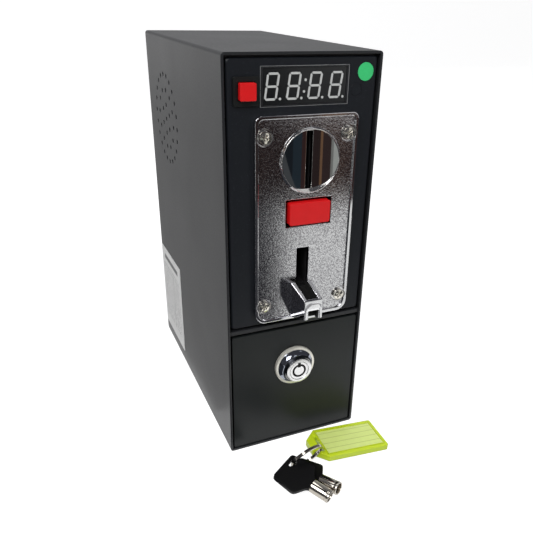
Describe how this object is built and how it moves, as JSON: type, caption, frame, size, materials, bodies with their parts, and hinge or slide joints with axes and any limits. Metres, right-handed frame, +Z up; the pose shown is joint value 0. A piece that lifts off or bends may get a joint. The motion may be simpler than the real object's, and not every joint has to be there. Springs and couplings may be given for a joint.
{
  "type": "coin-operated control box",
  "caption": "Upright black steel box with a metal coin acceptor, red reject and set buttons, a digit display, a key-locked cash drawer and tubular keys on a yellow tag",
  "frame": {"origin": "Centre of the case's base, on the surface it stands on", "axes": "+Z up, the front with the coin acceptor faces -Y, +X to the viewer's right when looking at the front; the case is 186 mm deep and centred on the origin in depth"},
  "size_m": [0.1045, 0.2599, 0.258],
  "materials": {
    "case_paint": "satin black fine powder coat",
    "dark_screw": "blackened steel screws",
    "panel_plastic": "fine-grained dark panel",
    "zinc_steel": "zinc-plated sheet",
    "zinc_screw": "zinc-plated screws",
    "bezel_plastic": "dark grey frame",
    "display_face": "black display face",
    "segment_grey": "unlit light grey segments",
    "board_green": "green circuit board",
    "switch_black": "black moulding",
    "button_red": "red cap",
    "spring_steel": "steel wire",
    "dot_green": "round green sticker",
    "label_white": "white label",
    "plate_chrome": "satin cast plate with a polished rim",
    "dish_chrome": "polished hollow disc",
    "bright_screw": "nickel-plated screws and nuts",
    "acetal_white": "natural acetal",
    "frame_black": "black glass-filled plastic",
    "flap_blue": "blue plastic",
    "coil_copper": "taped copper coils",
    "coil_tape": "amber tape",
    "chute_black": "black plastic",
    "drawer_paint": "satin black paint",
    "tray_zinc": "zinc-plated sheet",
    "lock_chrome": "polished chrome",
    "core_steel": "varnished laminations",
    "relay_blue": "board components",
    "cone_paper": "black paper cone",
    "key_black": "black plastic bows",
    "key_nickel": "nickel-plated barrels",
    "tag_plastic": "translucent yellow-green plastic",
    "tag_card": "ruled card"
  },
  "bodies": {
    "case": {"case_shell": "case_paint", "rear_panel": "case_paint", "rear_panel_screws": "dark_screw", "mid_shelf": "case_paint", "front_panel": "panel_plastic", "panel_brackets": "zinc_steel", "panel_screws": "zinc_screw", "display_bezel": "bezel_plastic", "display_module": "display_face", "display_segments": "segment_grey", "display_board": "board_green", "set_button_housing": "switch_black", "set_button_spring": "spring_steel", "dot_sticker": "dot_green", "rating_label": "label_white", "acceptor_faceplate": "plate_chrome", "coin_entry_dish": "dish_chrome", "faceplate_fasteners": "bright_screw", "reject_button_spring": "spring_steel", "pivot_pins": "zinc_screw", "acceptor_frame": "frame_black", "coin_sensors": "coil_copper", "acceptor_board": "board_green", "solenoid_bracket": "zinc_steel", "solenoid_coil": "coil_tape", "coin_chute": "chute_black", "drawer_glides": "acetal_white", "drawer_guides": "zinc_steel", "lock_strike": "zinc_steel", "mains_inlet": "switch_black", "power_outlet": "switch_black", "switch_body": "switch_black", "transformer_core": "core_steel", "transformer_winding": "coil_tape", "main_board": "board_green", "board_parts": "relay_blue", "board_standoffs": "zinc_screw", "speaker_basket": "core_steel", "speaker_cone": "cone_paper"},
    "drawer": {"drawer_front": "drawer_paint", "drawer_tray": "tray_zinc", "tray_screws": "zinc_screw", "lock_body": "lock_chrome", "lock_nut": "zinc_steel"},
    "lock_barrel": {"lock_plug": "lock_chrome", "lock_cam": "zinc_steel", "cam_screw": "dark_screw"},
    "reject_key": {"reject_button": "button_red"},
    "reject_arm": {"reject_lever": "acetal_white"},
    "flap": {"reject_flap": "flap_blue"},
    "gate": {"solenoid_plunger": "zinc_screw", "accept_gate": "acetal_white"},
    "set_key": {"set_button_cap": "button_red"},
    "power_rocker": {"switch_rocker": "button_red"},
    "keys": {"key_bows": "key_black", "key_barrels": "key_nickel", "key_ring": "key_nickel", "key_tag_case": "tag_plastic", "key_tag_insert": "tag_card"}
  },
  "joints": [
    {"name": "drawer_slide", "type": "slide", "parent": "case", "child": "drawer", "axis": [0, -1, 0], "range_m": [0, 0.14]},
    {"name": "lock_turn", "type": "hinge", "parent": "drawer", "child": "lock_barrel", "pos_m": [-0.001, -0.0922, 0.061], "axis": [0, 1, 0], "range_deg": [0, 90]},
    {"name": "reject_press", "type": "slide", "parent": "case", "child": "reject_key", "axis": [0, 1, 0], "range_m": [0, 0.0035], "stiffness_N_per_m": 200, "springref_m": -0.003, "deforming": ["reject_button_spring"]},
    {"name": "reject_arm_turn", "type": "hinge", "parent": "case", "child": "reject_arm", "pos_m": [-0.014, -0.081, 0.1655], "axis": [0, 0, 1], "range_deg": [0, 17.2]},
    {"name": "flap_swing", "type": "hinge", "parent": "case", "child": "flap", "pos_m": [0.00065, -0.049, 0.2195], "axis": [0, 1, 0], "range_deg": [0, 6.5]},
    {"name": "gate_pull", "type": "slide", "parent": "case", "child": "gate", "axis": [1, 0, 0], "range_m": [0, 0.0045], "stiffness_N_per_m": 80, "springref_m": -0.003},
    {"name": "set_press", "type": "slide", "parent": "case", "child": "set_key", "axis": [0, 1, 0], "range_m": [0, 0.0015], "stiffness_N_per_m": 200, "springref_m": -0.002, "deforming": ["set_button_spring"]},
    {"name": "power_rock", "type": "hinge", "parent": "case", "child": "power_rocker", "pos_m": [0, 0.0935, 0.196], "axis": [1, 0, 0], "range_deg": [0, 18]},
    {"name": "keys_slide", "type": "slide", "parent": "drawer", "child": "keys", "axis": [0, -1, 0], "range_m": [0, 0.1]}
  ],
  "couplings": [
    {"joint": "reject_arm_turn", "follows": "reject_press", "rad_per_m": 85.7},
    {"joint": "flap_swing", "follows": "reject_press", "rad_per_m": 32.4}
  ]
}
